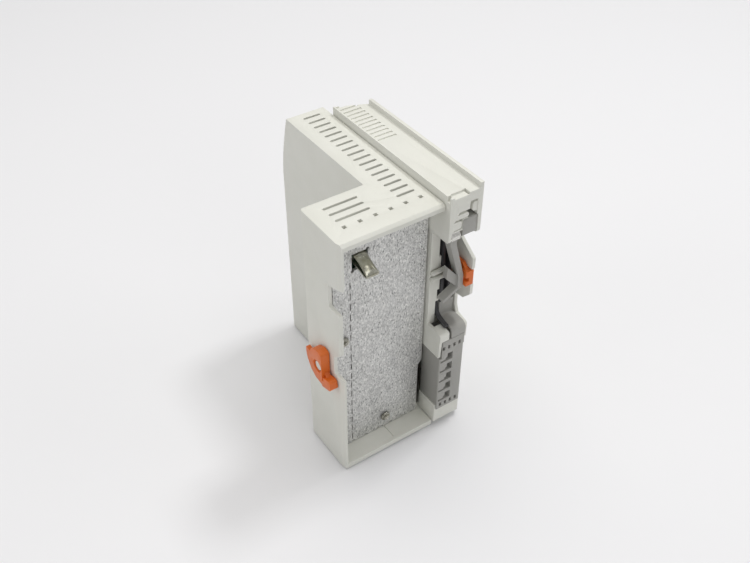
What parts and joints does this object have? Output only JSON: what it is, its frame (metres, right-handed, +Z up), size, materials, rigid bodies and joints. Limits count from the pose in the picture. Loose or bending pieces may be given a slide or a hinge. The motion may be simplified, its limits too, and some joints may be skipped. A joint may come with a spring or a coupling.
{
  "type": "plc module",
  "caption": "Compact rail-mounted programmable controller with a stepped housing, a shielded rail side and a slim supply module joined to it.",
  "frame": {"origin": "under the middle of the whole unit, on the surface it stands on", "axes": "+X across the width from the controller to the supply module, +Y from the rail side to the front panel, +Z up along the height"},
  "size_m": [0.0514, 0.0736, 0.1],
  "materials": {
    "housing": "light warm grey moulded plastic, fine satin texture",
    "insert": "mid grey moulded plastic",
    "dark_insert": "dark grey moulded plastic",
    "orange": "orange moulded plastic",
    "zinc": "galvanised sheet with a fine spangle",
    "steel": "bright spring steel and zinc-plated screws",
    "copper": "plain copper contact metal",
    "board": "green circuit board with solder mask",
    "chip": "black moulded component bodies",
    "lens": "milky light guide"
  },
  "bodies": {
    "unit": {"controller_housing": "housing", "shield_plate": "zinc", "earthing_spring": "steel", "shield_screw_lower": "steel", "shield_screw_side": "steel", "base_board": "board", "main_board": "board", "board_socket": "chip", "processor_chip": "chip", "memory_chip": "chip", "network_chip": "chip", "smoothing_capacitor": "chip", "field_connector_shroud": "zinc", "field_connector_insert": "dark_insert", "standoff_lower": "steel", "standoff_upper": "steel", "address_switch_units": "chip", "address_switch_tens": "chip", "service_bay_panel": "housing", "service_port": "dark_insert", "switch_block": "dark_insert", "light_guide": "lens", "module_housing": "housing", "module_insert": "insert", "module_contact_strip": "steel", "rail_seat": "dark_insert", "joining_peg_upper": "housing", "joining_peg_lower": "housing", "rail_hood": "insert", "terminal_carrier": "insert", "current_bar_1": "copper", "current_bar_2": "copper", "data_contacts": "dark_insert", "clamp_spring_1": "steel", "clamp_spring_2": "steel", "clamp_spring_3": "steel", "clamp_spring_4": "steel", "clamp_spring_5": "steel", "clamp_spring_6": "steel", "clamp_spring_7": "steel", "clamp_spring_8": "steel", "power_contact_1": "copper", "power_contact_2": "copper", "power_contact_3": "copper"},
    "locking_disc": {"locking_disc": "orange"},
    "service_flap": {"service_flap": "insert"},
    "mode_slider": {"mode_slider": "housing"},
    "reset_key": {"reset_key": "insert"},
    "address_rotor_units": {"address_rotor_units": "housing"},
    "address_rotor_tens": {"address_rotor_tens": "housing"},
    "release_strip": {"release_strip": "orange"},
    "rail_catch": {"rail_catch": "insert"}
  },
  "joints": [
    {"name": "disc_turn", "type": "hinge", "parent": "unit", "child": "locking_disc", "pos_m": [-0.02415, -0.02507, 0.044], "axis": [-1, 0, 0], "range_deg": [0, 60]},
    {"name": "flap_open", "type": "hinge", "parent": "unit", "child": "service_flap", "pos_m": [0.00649, 0.03603, 0.021], "axis": [-1, 0, 0], "range_deg": [0, 110]},
    {"name": "mode_slide", "type": "slide", "parent": "unit", "child": "mode_slider", "axis": [0, 0, 1], "range_m": [-0.0018, 0.0018]},
    {"name": "reset_press", "type": "slide", "parent": "unit", "child": "reset_key", "axis": [0, -1, 0], "range_m": [0, 0.0008], "stiffness_N_per_m": 1200, "springref_m": -0.0004},
    {"name": "units_turn", "type": "hinge", "parent": "unit", "child": "address_rotor_units", "pos_m": [-0.01142, -0.01606, 0.0618], "axis": [0, 1, 0], "continuous": true},
    {"name": "tens_turn", "type": "hinge", "parent": "unit", "child": "address_rotor_tens", "pos_m": [-0.01142, -0.01606, 0.0798], "axis": [0, 1, 0], "continuous": true},
    {"name": "release_pull", "type": "slide", "parent": "unit", "child": "release_strip", "axis": [0, 1, 0], "range_m": [0, 0.003], "stiffness_N_per_m": 900, "springref_m": -0.002},
    {"name": "catch_lift", "type": "slide", "parent": "unit", "child": "rail_catch", "axis": [0, 0, 1], "range_m": [0, 0.0025]}
  ],
  "couplings": [
    {"joint": "catch_lift", "follows": "release_pull", "ratio": 0.83333}
  ]
}
